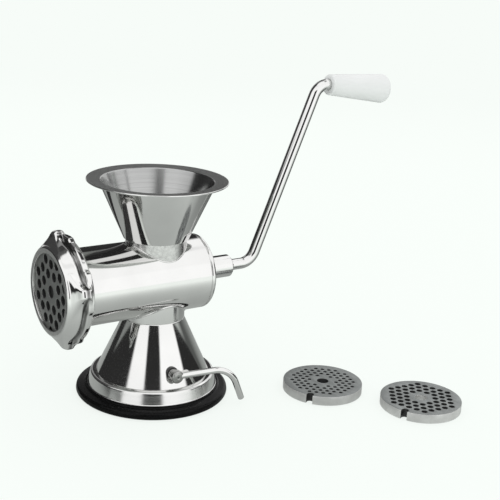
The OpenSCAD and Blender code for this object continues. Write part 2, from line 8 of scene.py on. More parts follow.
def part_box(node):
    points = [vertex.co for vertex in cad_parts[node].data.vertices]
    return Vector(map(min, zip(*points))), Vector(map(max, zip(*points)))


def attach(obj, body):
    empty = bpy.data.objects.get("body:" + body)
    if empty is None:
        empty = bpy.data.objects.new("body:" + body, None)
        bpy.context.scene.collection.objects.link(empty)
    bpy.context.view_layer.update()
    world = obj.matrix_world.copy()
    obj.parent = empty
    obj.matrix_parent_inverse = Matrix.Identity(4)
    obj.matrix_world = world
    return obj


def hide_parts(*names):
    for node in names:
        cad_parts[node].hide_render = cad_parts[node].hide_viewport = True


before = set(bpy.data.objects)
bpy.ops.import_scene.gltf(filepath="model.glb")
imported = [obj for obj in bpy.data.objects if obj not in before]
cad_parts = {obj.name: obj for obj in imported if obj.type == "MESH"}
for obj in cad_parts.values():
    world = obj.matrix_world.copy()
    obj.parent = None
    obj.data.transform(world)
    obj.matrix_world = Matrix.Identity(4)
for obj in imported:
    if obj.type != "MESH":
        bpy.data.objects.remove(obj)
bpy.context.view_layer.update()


# ---------------------------------------------------------------- table and studio
# The grinder stands on a pale table under soft light. Bright panels and dark flags stand round it,
# which the polished steel mirrors. The camera looks down on the lever's side.

CAMERA_AT = (0.63505, -0.36326, 0.33304)
CAMERA_AZIMUTH = math.radians(54.75)
CAMERA_ELEVATION = math.radians(16.62)
CAMERA_ROLL = math.radians(3.28)
FOCAL_PIXELS = 1025.31
PICTURE_PIXELS = 500
SENSOR_MM = 36

PALE = (0.930, 0.973, 0.939, 1)
TABLE_Z = -0.0003
TABLE_HALF = 12
TABLE_GREY = 0.16           # share of the table's look that takes shadows
# Painted shade: mirrors see the table darker close to the base, as if in the grinder's shade.
TABLE_SHADED_SEEN_NEAR = 0.48      # how bright mirrors see the table close to the base
TABLE_SEEN_FROM = 0.5       # metres from the base where the far brightness is reached
TABLE_NEAR, TABLE_FAR = 0.9, 2.0    # metres from the base where mirrors stop seeing the table

# How bright mirrors see the table far from the base, as (azimuth, brightness), in degrees from +X. The dark
# sides are painted shade, where dark flags stand round the table.
TABLE_SEEN_FAR = [(-180, 0.3), (-105, 0.3), (-85, 1.0), (-60, 1.25), (45, 1.25), (78, 0.12), (180, 0.12)]

# What stands round the table, as (azimuth from, azimuth to, brightness).
LOW_PANELS = [
    (-180, -84, 0.03), (-79, -47, 1.25), (-44, -13, 0.03), (-9, 42, 1.3), (46, 96, 0.03),
    (100, 138, 1.0), (141, 156, 0.03), (160, 180, 0.7),
]
MIDDLE_PANELS = [(-180, -118, 0.06), (-112, 136, 1.25), (140, 152, 0.3), (156, 180, 0.3)]
HIGH_PANELS = [
    (-180, -120, 0.12), (-115, -30, 1.1), (-25, 44, 1.3), (50, 60, 0.05), (63, 68, 1.2),
    (72, 120, 0.05), (124, 160, 0.03), (165, 180, 0.12),
]
# How high the low panels reach, as (azimuth, elevation).
LOW_EDGE = [
    (-180, 0), (-165, 5), (-150, 12), (-135, 19), (-115, 22), (-85, 25), (-47, 34), (-30, 36),
    (-14, 30), (45, 30), (50, 20), (96, 12), (100, 36), (156, 38), (160, 18), (180, 0),
]
EDGE_SOFT = 2.5
HIGH_FOOT, HIGH_FULL = 58, 64       # elevations between which the high panels take over
LAMP_FOOT, LAMP_FULL = 67, 71       # and those where the lamp overhead does
LAMP_LEVEL = 1.25
SKY_LOW, SKY_RISE = 0.98, 0.25      # the soft light on matt surfaces, from level to straight up

# A low black strip stands on the table on the side away from the lever, seen only by mirrors.
STRIP_R, STRIP_TOP = 0.25, 0.03
STRIP_FROM, STRIP_TO = math.radians(-185), math.radians(-100)
STRIP_BLACK = (0.03, 0.03, 0.03, 1)


def node(tree, kind, inputs=None, **settings):
    """A shader node. Each of its inputs takes another node's output or a plain value."""
    made = tree.nodes.new("ShaderNode" + kind)
    for key, value in settings.items():
        setattr(made, key, value)
    for key, value in (inputs or {}).items():
        if isinstance(value, bpy.types.NodeSocket):
            tree.links.new(value, made.inputs[key])
        else:
            made.inputs[key].default_value = value
    return made


def maths(tree, operation, *values):
    """The result of one sum on sockets or numbers."""
    return node(tree, "Math", dict(enumerate(values)), operation=operation).outputs[0]


def blend_colour(tree, share, first, second):
    """The first colour where share is 0, the second where it is 1."""
    return node(tree, "Mix", {0: share, 6: first, 7: second}, data_type="RGBA").outputs[2]


def ramp(tree, place, stops):
    """A ramp of greys: stops are (place from 0 to 1, grey)."""
    made = node(tree, "ValToRGB", {0: place})
    points = made.color_ramp.elements
    while len(points) < len(stops):
        points.new(0.5)
    for point, (at, grey) in zip(points, stops):
        point.position = at
        point.color = (grey, grey, grey, 1)
    return made.outputs[0]


def round_table(tree, azimuth, stops):
    """A value that follows the azimuth. The stops are (degrees, value)."""
    place = maths(tree, "ADD", maths(tree, "DIVIDE", azimuth, 2 * math.pi), 0.5)
    return ramp(tree, place, [((degrees + 180) / 360, value) for degrees, value in stops])


def panels(tree, azimuth, bands):
    """Brightness by direction. Each band runs at one level, and its edges are soft."""
    return round_table(tree, azimuth, [(end, level) for low, high, level in bands for end in (low, high)])


def build_studio():
    world = bpy.data.worlds.new("studio")
    bpy.context.scene.world = world
    world.use_nodes = True
    tree = world.node_tree
    tree.nodes.clear()
    direction = node(tree, "TexCoord").outputs["Generated"]
    part = node(tree, "SeparateXYZ", {0: direction})
    azimuth = maths(tree, "ARCTAN2", part.outputs["Y"], part.outputs["X"])
    height = maths(tree, "MULTIPLY", maths(tree, "ARCSINE", part.outputs["Z"]), 180 / math.pi)
    edge = round_table(tree, azimuth, [(at, top / 90) for at, top in LOW_EDGE])
    edge = maths(tree, "MULTIPLY", edge, 90.0)
    above = node(tree, "MapRange", {"Value": maths(tree, "SUBTRACT", height, edge),
                                    "From Min": -EDGE_SOFT, "From Max": EDGE_SOFT},
                 interpolation_type="SMOOTHSTEP").outputs[0]
    top = node(tree, "MapRange", {"Value": height, "From Min": HIGH_FOOT, "From Max": HIGH_FULL},
               interpolation_type="SMOOTHSTEP").outputs[0]
    mirrored = blend_colour(tree, above, panels(tree, azimuth, LOW_PANELS),
                            panels(tree, azimuth, MIDDLE_PANELS))
    mirrored = blend_colour(tree, top, mirrored, panels(tree, azimuth, HIGH_PANELS))
    overhead = node(tree, "MapRange", {"Value": height, "From Min": LAMP_FOOT, "From Max": LAMP_FULL},
                    interpolation_type="SMOOTHSTEP").outputs[0]
    mirrored = blend_colour(tree, overhead, mirrored, (LAMP_LEVEL, LAMP_LEVEL, LAMP_LEVEL, 1))
    sky = maths(tree, "MULTIPLY_ADD", part.outputs["Z"], SKY_RISE, SKY_LOW)
    path = node(tree, "LightPath")
    lit = blend_colour(tree, path.outputs["Is Glossy Ray"], sky, mirrored)
    seen = maths(tree, "MAXIMUM", path.outputs["Is Camera Ray"], path.outputs["Is Transmission Ray"])
    colour = blend_colour(tree, seen, lit, PALE)
    light = node(tree, "Background", {"Color": colour, "Strength": 1.0})
    tree.links.new(light.outputs[0], node(tree, "OutputWorld").inputs[0])


def build_table():
    mesh = bpy.data.meshes.new("table")
    signs = ((-1, -1), (1, -1), (1, 1), (-1, 1))
    corners = [(sx * TABLE_HALF, sy * TABLE_HALF, TABLE_Z) for sx, sy in signs]
    mesh.from_pydata(corners, [], [(0, 1, 2, 3)])
    table = bpy.data.objects.new("table", mesh)
    bpy.context.scene.collection.objects.link(table)

    material = bpy.data.materials.new("pale_table")
    material.use_nodes = True
    tree = material.node_tree
    tree.nodes.clear()
    path = node(tree, "LightPath")
    place = node(tree, "NewGeometry").outputs["Position"]
    away = node(tree, "VectorMath", {0: place}, operation="LENGTH").outputs["Value"]
    far = node(tree, "MapRange", {"Value": away, "From Min": TABLE_NEAR, "From Max": TABLE_FAR},
               interpolation_type="SMOOTHSTEP").outputs[0]
    matte = node(tree, "BsdfDiffuse", {"Color": PALE}).outputs[0]
    glow = node(tree, "Emission", {"Color": PALE}).outputs[0]
    seen = node(tree, "MixShader", {0: maths(tree, "MULTIPLY_ADD", far, TABLE_GREY, 1 - TABLE_GREY),
                                    1: matte, 2: glow}).outputs[0]
    part = node(tree, "SeparateXYZ", {0: place}).outputs
    # What mirrors see of the table is painted shade: dim near the base, and dark on the sides where flags
    # stand.
    far_level = round_table(tree, maths(tree, "ARCTAN2", part["Y"], part["X"]), TABLE_SEEN_FAR)
    level = node(tree, "MapRange", {"Value": away, "From Max": TABLE_SEEN_FROM, "To Min": TABLE_SHADED_SEEN_NEAR,
                                    "To Max": far_level}, interpolation_type="SMOOTHSTEP").outputs[0]
    mirrored = node(tree, "Emission", {"Color": PALE, "Strength": level}).outputs[0]
    beyond = node(tree, "BsdfTransparent").outputs[0]
    mirror = node(tree, "MixShader", {0: far, 1: mirrored, 2: beyond}).outputs[0]
    direct = maths(tree, "MAXIMUM", path.outputs["Is Camera Ray"], path.outputs["Is Transmission Ray"])
    surface = node(tree, "MixShader", {0: direct, 1: matte, 2: seen}).outputs[0]
    surface = node(tree, "MixShader", {0: path.outputs["Is Glossy Ray"], 1: surface, 2: mirror}).outputs[0]
    tree.links.new(surface, node(tree, "OutputMaterial").inputs[0])
    mesh.materials.append(material)


def build_strip():
    steps = 24
    turns = [STRIP_FROM + (STRIP_TO - STRIP_FROM) * k / steps for k in range(steps + 1)]
    points = [(STRIP_R * math.cos(a), STRIP_R * math.sin(a), z) for z in (0, STRIP_TOP) for a in turns]
    mesh = bpy.data.meshes.new("black_strip")
    mesh.from_pydata(points, [], [(k, k + 1, k + steps + 2, k + steps + 1) for k in range(steps)])
    strip = bpy.data.objects.new("black_strip", mesh)
    bpy.context.scene.collection.objects.link(strip)
    for seen_by in ("camera", "diffuse", "transmission", "shadow"):
        setattr(strip, "visible_" + seen_by, False)
    material = bpy.data.materials.new("black_strip")
    material.use_nodes = True
    tree = material.node_tree
    tree.nodes.clear()
    black = node(tree, "Emission", {"Color": STRIP_BLACK}).outputs[0]
    tree.links.new(black, node(tree, "OutputMaterial").inputs[0])
    mesh.materials.append(material)


def place_camera():
    lens = bpy.data.cameras.new("camera")
    lens.sensor_width = SENSOR_MM
    lens.lens = FOCAL_PIXELS / PICTURE_PIXELS * SENSOR_MM
    camera = bpy.data.objects.new("camera", lens)
    bpy.context.scene.collection.objects.link(camera)
    az, el, roll = CAMERA_AZIMUTH, CAMERA_ELEVATION, CAMERA_ROLL
    back = Vector((math.sin(az) * math.cos(el), -math.cos(az) * math.cos(el), math.sin(el)))
    right = Vector((math.cos(az), math.sin(az), 0))
    up = back.cross(right)
    across = math.cos(roll) * right + math.sin(roll) * up
    upright = -math.sin(roll) * right + math.cos(roll) * up
    turn = Matrix((across, upright, back)).transposed().to_4x4()
    camera.matrix_world = Matrix.Translation(CAMERA_AT) @ turn
    bpy.context.scene.camera = camera


bpy.context.scene.view_settings.view_transform = "Standard"
build_studio()
build_table()
build_strip()
place_camera()


# ---------------------------------------------------------------- rubber suction pad
# A moulded disc of soft black rubber, gripped under the base ring. Its rounded edge stands out all
# round, and a thin bead stands up against the ring's lip.

MM = 0.001
PAD_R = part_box("suction_pad")[1].x / MM
PAD_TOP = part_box("base_flange")[0].z / MM
BEAD_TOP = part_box("suction_pad")[1].z / MM
LIP_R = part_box("base_flange")[1].x / MM
DISC_POCKET_R = 12.3
DISC_POCKET_Z = 2.5


def rounded(corners, per_turn=48, support=0.25):
    """An outline whose corners (r, h, fillet) are rounded. A support point stands beside each bend."""
    points = []
    count = len(corners)
    for i, corner in enumerate(corners):
        here = Vector(corner[:2])
        fillet = corner[2] if len(corner) > 2 else 0
        before = Vector(corners[i - 1][:2]) - here
        after = Vector(corners[(i + 1) % count][:2]) - here
        angle = before.angle(after) if fillet else 0
        if not fillet or angle > math.pi - 0.01:
            points.append(here)
            continue
        reach = min(fillet / math.tan(angle / 2), 0.49 * before.length, 0.49 * after.length)
        radius = reach * math.tan(angle / 2)
        halfway = (before.normalized() + after.normalized()).normalized()
        middle = here + halfway * (radius / math.sin(angle / 2))
        start = here + before.normalized() * reach
        end = here + after.normalized() * reach
        steps = max(3, round((math.pi - angle) / (2 * math.pi) * per_turn))
        a0 = math.atan2(start.y - middle.y, start.x - middle.x)
        a1 = math.atan2(end.y - middle.y, end.x - middle.x)
        turn = (a1 - a0 + math.pi) % (2 * math.pi) - math.pi
        if before.length - reach > 3 * support:
            points.append(start + before.normalized() * support)
        for k in range(steps + 1):
            a = a0 + turn * k / steps
            points.append(middle + radius * Vector((math.cos(a), math.sin(a))))
        if after.length - reach > 3 * support:
            points.append(end + after.normalized() * support)
    return points


def piece(name, points, faces, place=None, body="housing", slot="polished_steel"):
    """A smooth mesh in mm, set in its place, that rides on a body. Its slot is not used."""
    mesh = bpy.data.meshes.new(name)
    place = place or Matrix.Identity(4)
    mesh.from_pydata([(place @ Vector(p)) * MM for p in points], [], faces)
    work = bmesh.new()
    work.from_mesh(mesh)
    bmesh.ops.remove_doubles(work, verts=work.verts, dist=1e-7)
    bmesh.ops.dissolve_degenerate(work, edges=work.edges, dist=1e-8)
    bmesh.ops.recalc_face_normals(work, faces=work.faces)
    work.to_mesh(mesh)
    work.free()
    mesh.shade_smooth()
    made = bpy.data.objects.new(name, mesh)
    bpy.context.scene.collection.objects.link(made)
    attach(made, body)
    return made


def grid_faces(rows, columns, close_rows=True):
    """Quads over a grid whose columns go round. close_rows joins the last row to the first."""
    last = rows if close_rows else rows - 1
    return [
        (i * columns + k, i * columns + (k + 1) % columns,
         (i + 1) % rows * columns + (k + 1) % columns, (i + 1) % rows * columns + k)
        for i in range(last) for k in range(columns)
    ]


def turned(name, corners, place=None, sides=192, **kind):
    """A turned piece: its closed outline (radius, height) goes round the local Z axis."""
    outline = rounded(corners)
    angles = [2 * math.pi * k / sides for k in range(sides)]
    points = [(r * math.cos(a), r * math.sin(a), h) for r, h in outline for a in angles]
    return piece(name, points, grid_faces(len(outline), sides), place, **kind)


def dress(made, *materials):
    """Puts materials on a piece of the scene or on a CAD node's object."""
    made.data.materials.clear()
    for material in materials:
        made.data.materials.append(material)
    return made


def new_material(name, colour, metallic, roughness, **shader):
    """A Principled material with plain values: (material, node tree, shader)."""
    material = bpy.data.materials.new(name)
    material.use_nodes = True
    tree = material.node_tree
    bsdf = tree.nodes["Principled BSDF"]
    bsdf.inputs["Base Color"].default_value = (*colour, 1)
    bsdf.inputs["Metallic"].default_value = metallic
    bsdf.inputs["Roughness"].default_value = roughness
    for key, value in shader.items():
        bsdf.inputs[key.replace("_", " ")].default_value = value
    return material, tree, bsdf


def spots(tree, scale, detail=3.0, roughness=0.5, vector=None):
    """Soft noise from 0 to 1, at `scale` spots a metre in the piece's own space."""
    vector = vector or node(tree, "TexCoord").outputs["Object"]
    return node(tree, "TexNoise", {"Vector": vector, "Scale": scale, "Detail": detail,
                                   "Roughness": roughness}).outputs["Fac"]


def spread(tree, value, low, high, start=0.3, end=0.7):
    """Stretches a value between start and end to run from low to high."""
    return node(tree, "MapRange", {"Value": value, "From Min": start, "From Max": end,
                                   "To Min": low, "To Max": high}).outputs[0]


def black_rubber():
    material, tree, bsdf = new_material("black_rubber", (0.003, 0.003, 0.003), 0, 0.2,
                                        Specular_IOR_Level=0.08)
    cloud = spots(tree, 60, 4)
    tree.links.new(spread(tree, cloud, 0.14, 0.30), bsdf.inputs["Roughness"])
    tree.links.new(blend_colour(tree, spread(tree, spots(tree, 900, 2), 0, 1, 0.45, 0.8),
                                (0.003, 0.003, 0.003, 1), (0.010, 0.010, 0.011, 1)),
                   bsdf.inputs["Base Color"])
    bump = node(tree, "Bump", {"Height": spots(tree, 1500, 2), "Strength": 0.05, "Distance": 0.0002})
    tree.links.new(bump.outputs[0], bsdf.inputs["Normal"])
    return material


rubber = black_rubber()
pad = turned("rubber_pad", [
    (0.01, 0), (PAD_R, 0, 2.6), (PAD_R - 0.9, PAD_TOP - 0.4, 2.6), (LIP_R + 1.4, PAD_TOP + 0.5, 1.2),
    (LIP_R + 1.2, BEAD_TOP, 0.5), (LIP_R + 0.2, BEAD_TOP, 0.4), (LIP_R + 0.2, PAD_TOP),
    (DISC_POCKET_R, PAD_TOP, 0.3), (DISC_POCKET_R, DISC_POCKET_Z, 0.3), (0.01, DISC_POCKET_Z),
], slot="pad_rubber")
dress(pad, rubber)
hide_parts("suction_pad")


# ---------------------------------------------------------------- base ring
# A ring pressed from stainless sheet and polished. Its lip clamps the rubber, its wall rises to a
# flat shelf, and the pedestal is welded to the shelf's inner edge.

RING_LIP_TOP = 8.0
RING_WALL_LOW_R = 49.0
RING_SHELF_R = 46.7
RING_SHELF_Z = 17.2
RING_SHEET = 1.5
RING_INSIDE_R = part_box("pedestal_cone")[1].x / MM - 2.5


def surface_marks(name, taken, draw):
    """A node group of fine marks. It takes plain numbers, and puts out a roughness, a tone and a height."""
    group = bpy.data.node_groups.new(name, "ShaderNodeTree")
    given = ("Roughness", "Tone", "Height")
    for way, labels in (("INPUT", taken), ("OUTPUT", given)):
        for label in labels:
            group.interface.new_socket(label, in_out=way, socket_type="NodeSocketFloat")
    values = draw(group, group.nodes.new("NodeGroupInput").outputs)
    ends = group.nodes.new("NodeGroupOutput").inputs
    for label, value in zip(given, values):
        group.links.new(value, ends[label])
    return group


def draw_polish(group, taken):
    """Faint rings and clouds that polishing leaves."""
    ring = node(group, "CombineXYZ", {0: taken["Across"], 1: taken["Along"]}).outputs[0]
    lines = spots(group, taken["Lines per metre"], vector=ring)
    cloud = spots(group, 38, 4)
    worn = maths(group, "MULTIPLY", cloud, spread(group, lines, 0.6, 1))
    gloss = spread(group, worn, taken["Smooth"], taken["Rough"], 0.2, 0.6)
    waves = maths(group, "MULTIPLY_ADD", lines, 0.02, spots(group, 22, 1))
    return gloss, spread(group, cloud, 0, 1), waves


POLISH = surface_marks("polish_marks", ("Across", "Along", "Smooth", "Rough", "Lines per metre"),
                       draw_polish)


def turned_place(tree, axis, centre_z=0.0):
    """(distance from the turning axis, place along it) at a point. The axis is Y or Z."""
    part = node(tree, "SeparateXYZ", {0: node(tree, "TexCoord").outputs["Object"]}).outputs
    x, y, z = part["X"], part["Y"], part["Z"]
    if axis == "Y":
        y, z = maths(tree, "SUBTRACT", z, centre_z), y
    squares = maths(tree, "ADD", maths(tree, "MULTIPLY", x, x), maths(tree, "MULTIPLY", y, y))
    return maths(tree, "SQRT", squares), z


def shade(colour, share):
    return tuple(share * c for c in colour)


def finish(name, marks, bright, dark, relief, taken, metallic=1, axis=None, centre_z=0.0, **shader):
    """A material whose gloss, tone and relief come from a group of marks. Its tone runs from bright to
    dark, and relief is the strength of the bumps and their depth in metres."""
    material, tree, bsdf = new_material(name, bright, metallic, taken["Smooth"], **shader)
    if axis:
        across, along = turned_place(tree, axis, centre_z)
        taken = {"Across": across, "Along": along, **taken}
    made = node(tree, "Group", taken, node_tree=marks).outputs
    tree.links.new(made["Roughness"], bsdf.inputs["Roughness"])
    tree.links.new(blend_colour(tree, made["Tone"], (*bright, 1), (*dark, 1)), bsdf.inputs["Base Color"])
    strength, distance = relief
    bump = node(tree, "Bump", {"Height": made["Height"], "Strength": strength, "Distance": distance})
    tree.links.new(bump.outputs[0], bsdf.inputs["Normal"])
    return material


def marked_steel(name, axis, centre_z=0.0, colour=(0.74, 0.74, 0.73), smooth=0.03, rough=0.09,
                 lines=900.0, wave=0.25):
    """Mirror-polished stainless steel, turned about an axis, with faint polishing rings."""
    return finish(name, POLISH, colour, shade(colour, 0.94), (wave, 0.0003),
                  {"Smooth": smooth, "Rough": rough, "Lines per metre": lines}, axis=axis, centre_z=centre_z)


upright_steel = marked_steel("polished_upright", "Z")
base_ring = turned("base_ring", [
    (LIP_R - 2.6, PAD_TOP, 0.3), (LIP_R, PAD_TOP, 0.7), (LIP_R, RING_LIP_TOP, 0.9),
    (RING_WALL_LOW_R, RING_LIP_TOP + 0.4, 0.5), (RING_SHELF_R, RING_SHELF_Z, 2.0),
    (RING_INSIDE_R, RING_SHELF_Z, 0.3), (RING_INSIDE_R, RING_SHELF_Z - RING_SHEET, 0.3),
    (RING_SHELF_R - 1.8, RING_SHELF_Z - RING_SHEET, 1.0), (LIP_R - 2.6, RING_LIP_TOP, 0.3),
], sides=256)
dress(base_ring, marked_steel("polished_ring", "Z", smooth=0.10, rough=0.20, wave=0.4))
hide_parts("base_flange")


# ---------------------------------------------------------------- pedestal
# A cone spun from stainless sheet stands on the ring's shelf and carries a short tube, cut to a
# saddle that is welded under the barrel. Both are polished as one.

CONE_TOP_R, CONE_TOP_Z = 23.0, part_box("pedestal_cone")[1].z / MM
CONE_FOOT_R, CONE_FOOT_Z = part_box("pedestal_cone")[1].x / MM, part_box("pedestal_cone")[0].z / MM
PEDESTAL_SHEET = 1.5
BARREL_Z = 91.0
BARREL_R = 28.5
BORE_R = 26.0


def saddle(radius, cylinder, side, sides=192):
    """Heights where an upright tube of that radius meets a cylinder on the barrel's axis."""
    angles = [2 * math.pi * k / sides for k in range(sides)]
    return [BARREL_Z + side * math.sqrt(cylinder ** 2 - (radius * math.cos(a)) ** 2) for a in angles]


def saddle_tube(name, outer, inner, plain_z, side, deep, sides=192, **kind):
    """A tube from a plain end at plain_z to the barrel. Its inner wall reaches the cylinder `deep`."""
    shares = (0, 0.02, 0.25, 0.5, 0.75, 0.98, 1)
    rows = []
    for radius, reach, order in ((outer, BARREL_R, shares), (inner, deep, shares[::-1])):
        ends = saddle(radius, reach, side, sides)
        for share in order:
            rows.append([
                (radius * math.cos(2 * math.pi * k / sides), radius * math.sin(2 * math.pi * k / sides),
                 plain_z + share * (ends[k] - plain_z)) for k in range(sides)
            ])
    points = [p for row in rows for p in row]
    return piece(name, points, grid_faces(len(rows), sides), **kind)


def bead(name, path, radius, sides=10, **kind):
    """A round bead along a closed path of points."""
    count = len(path)
    points = []
    for i, here in enumerate(path):
        along = (Vector(path[(i + 1) % count]) - Vector(path[i - 1])).normalized()
        across = along.cross(Vector((0, 0, 1))).normalized()
        upward = across.cross(along)
        for k in range(sides):
            a = 2 * math.pi * k / sides
            points.append(Vector(here) + radius * (math.cos(a) * across + math.sin(a) * upward))
    return piece(name, points, grid_faces(count, sides), **kind)


cone = turned("pedestal_spun_cone", [
    (CONE_TOP_R, CONE_TOP_Z), (CONE_TOP_R, CONE_TOP_Z - 1), (CONE_FOOT_R, CONE_FOOT_Z, 0.2),
    (CONE_FOOT_R - PEDESTAL_SHEET, CONE_FOOT_Z, 0.2), (CONE_TOP_R - PEDESTAL_SHEET, CONE_TOP_Z),
], sides=256)
cone_steel = marked_steel("polished_cone", "Z", smooth=0.04, rough=0.13, wave=0.5)
dress(cone, cone_steel)
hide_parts("pedestal_cone")

pedestal_tube = saddle_tube("pedestal_saddle_tube", CONE_TOP_R, CONE_TOP_R - PEDESTAL_SHEET, CONE_TOP_Z,
                            -1, BARREL_R)
dress(pedestal_tube, upright_steel)
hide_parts("pedestal_neck")

weld_ring = [2 * math.pi * k / 192 for k in range(192)]
low_weld = bead("pedestal_weld", [
    (CONE_TOP_R * math.cos(a), CONE_TOP_R * math.sin(a), h)
    for a, h in zip(weld_ring, saddle(CONE_TOP_R, BARREL_R, -1))], 0.7)
dress(low_weld, upright_steel)


# ---------------------------------------------------------------- barrel
# A drawn stainless tube lies across the pedestal. A round throat is cut through its top under the
# hopper, and a pressed cap with a rounded shoulder closes its rear. Both are polished as one.

BARREL_FRONT = -76.6
TUBE_REAR = 33.0
CAP_REAR = 37.0
CAP_INSIDE = 34.5
CAP_ROUND = 4.0
BOSS_HOLE_R = 7.2
THROAT_CUT_R = 21.8         # hidden in the neck's wall, which is 21 to 22.5
ALONG_BARREL = Matrix.Translation((0, 0, BARREL_Z)) @ Matrix.Rotation(-math.pi / 2, 4, "X")


def tube_with_throat(name, stations, sides=288, **kind):
    """The barrel's tube: outer wall, inner wall and both end rims, open inside the throat."""
    rows = [(BARREL_R, y) for y in stations] + [(BORE_R, y) for y in reversed(stations)]
    points = [(r * math.sin(2 * math.pi * k / sides), y, BARREL_Z + r * math.cos(2 * math.pi * k / sides))
              for r, y in rows for k in range(sides)]

    def in_throat(face):
        return all(math.hypot(points[i][0], points[i][1]) < THROAT_CUT_R and points[i][2] > BARREL_Z
                   for i in face)

    faces = [f for f in grid_faces(len(rows), sides) if not in_throat(f)]
    return piece(name, points, faces, **kind)


barrel_steel = marked_steel("polished_barrel", "Y", BARREL_Z * MM)
fine_step, near = 0.6, 23.4
near_throat = [-near + fine_step * i for i in range(int(2 * near / fine_step) + 1)]
front_run = [BARREL_FRONT, BARREL_FRONT + 0.3] + [BARREL_FRONT + 3 + 6.1 * i for i in range(9)]
rear_run = [27.0, TUBE_REAR - 0.4, TUBE_REAR]
barrel = tube_with_throat("barrel_shell", [y for y in front_run if y < -near] + near_throat + rear_run)
dress(barrel, barrel_steel)
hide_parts("barrel_tube")

end_cap = turned("barrel_rear_cap", [
    (BARREL_R, TUBE_REAR), (BARREL_R, CAP_REAR, CAP_ROUND), (BOSS_HOLE_R, CAP_REAR),
    (BOSS_HOLE_R, CAP_INSIDE), (BORE_R, CAP_INSIDE, 0.6), (BORE_R, TUBE_REAR),
], ALONG_BARREL, sides=256)
dress(end_cap, barrel_steel)
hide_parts("barrel_end_cap")


# ---------------------------------------------------------------- rear boss
# A short solid bearing housing, turned and welded to the end cap. Its end is chamfered, and the
# crank's rod goes in through its mouth.

BOSS_R = 8.7
BOSS_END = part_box("rear_boss")[1].y / MM
BOSS_CHAMFER = 1.6
BOSS_MOUTH_R = 4.65
BUSH_END = 60.3

boss_steel = marked_steel("polished_boss", "Y", BARREL_Z * MM, smooth=0.05, rough=0.11)
boss = turned("rear_bearing_boss", [
    (BOSS_HOLE_R, CAP_REAR), (BOSS_R + 0.8, CAP_REAR, 0.2), (BOSS_R, CAP_REAR + 0.9, 0.6),
    (BOSS_R, BOSS_END - BOSS_CHAMFER, 0.4), (BOSS_R - BOSS_CHAMFER, BOSS_END, 0.3),
    (BOSS_MOUTH_R, BOSS_END, 0.3), (BOSS_MOUTH_R, BUSH_END, 0.1), (BOSS_HOLE_R, BUSH_END, 0.1),
], ALONG_BARREL, sides=96)
dress(boss, boss_steel)
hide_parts("rear_boss")


# ---------------------------------------------------------------- hopper
# A short tube is welded over the throat, and a funnel spun from thin sheet stands on it. The funnel is
# polished outside, and brushed inside and over its flat rim.

NECK_R, THROAT_R = 22.5, 21.0
SEAM_Z = 121.6
FUNNEL_FOOT_R, FUNNEL_MOUTH_R, RIM_R = 24.2, 41.6, 52.0
RIM_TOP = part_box("hopper_funnel")[1].z / MM
RIM_IN_Z = RIM_TOP - 0.9
SHEET = 1.2
SHEET_ACROSS = 1.3          # the sheet's thickness measured level through the sloping wall


def draw_mottle(group, taken):
    """The fine mottle of a machined or cast face."""
    mottle = spots(group, 420, 4, 0.6)
    return spread(group, mottle, taken["Smooth"], taken["Rough"]), spread(group, mottle, 0, 1), mottle


def draw_brushing(group, taken):
    """Close rings that a brush leaves. Their darkening swells and fades in broad arcs, which is painted
    reflection of brushed streaks.
    """
    ring = node(group, "CombineXYZ", {0: taken["Across"], 1: taken["Along"]}).outputs[0]
    lines = spots(group, 2600, 4, 0.6, ring)
    painted_reflection_arcs = spread(group, spots(group, 14, 2), 0.5, 1)
    tone = maths(group, "MULTIPLY", spread(group, lines, 0, 1), painted_reflection_arcs)
    return spread(group, lines, taken["Smooth"], taken["Rough"]), tone, lines


MOTTLE = surface_marks("mottle_marks", ("Smooth", "Rough"), draw_mottle)
BRUSHING = surface_marks("brush_marks_and_reflection", ("Across", "Along", "Smooth", "Rough"), draw_brushing)


def machined_steel(name, colour=(0.50, 0.50, 0.49), smooth=0.22, rough=0.36):
    """Plain machined steel with a fine mottled surface."""
    return finish(name, MOTTLE, colour, shade(colour, 0.8), (0.1, 0.0001),
                  {"Smooth": smooth, "Rough": rough})


def brushed_steel(name, colour, smooth, rough, bite, deep):
    """Stainless steel brushed in rings about the upright axis. Its darkest lines are `deep` as bright, a
    depth that is partly painted reflection.
    """
    return finish(name, BRUSHING, colour, shade(colour, deep), (bite, 0.00008),
                  {"Smooth": smooth, "Rough": rough}, axis="Z")


neck = saddle_tube("hopper_neck_tube", NECK_R, THROAT_R, SEAM_Z, 1, BORE_R)
dress(neck, machined_steel("satin_neck", (0.64, 0.64, 0.63), 0.14, 0.34))
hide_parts("hopper_neck")
high_weld = bead("hopper_weld", [
    (NECK_R * math.cos(a), NECK_R * math.sin(a), h)
    for a, h in zip(weld_ring, saddle(NECK_R, BARREL_R, 1))], 0.6)
dress(high_weld, upright_steel)

# The funnel's inside and rim are darkened in broad arcs: painted reflection over real brush lines.
inside_steel = brushed_steel("brushed_funnel_inside", (0.46, 0.465, 0.46), 0.14, 0.22, 0.05, 0.70)
rim_steel = brushed_steel("brushed_rim", (0.53, 0.54, 0.53), 0.32, 0.46, 0.12, 0.55)
funnel = turned("hopper_spun_funnel", [
    (THROAT_R, SEAM_Z, 0.3), (FUNNEL_FOOT_R, SEAM_Z, 0.8),
    (FUNNEL_MOUTH_R + SHEET_ACROSS, RIM_IN_Z - SHEET, 1.6), (RIM_R, RIM_TOP - SHEET, 0.59),
    (RIM_R, RIM_TOP, 0.59), (FUNNEL_MOUTH_R, RIM_IN_Z, 1.0),
    (FUNNEL_FOOT_R - SHEET_ACROSS + 0.5, SEAM_Z + SHEET, 0.8), (THROAT_R, SEAM_Z + SHEET, 0.3),
], sides=288)
dress(funnel, upright_steel, inside_steel, rim_steel)
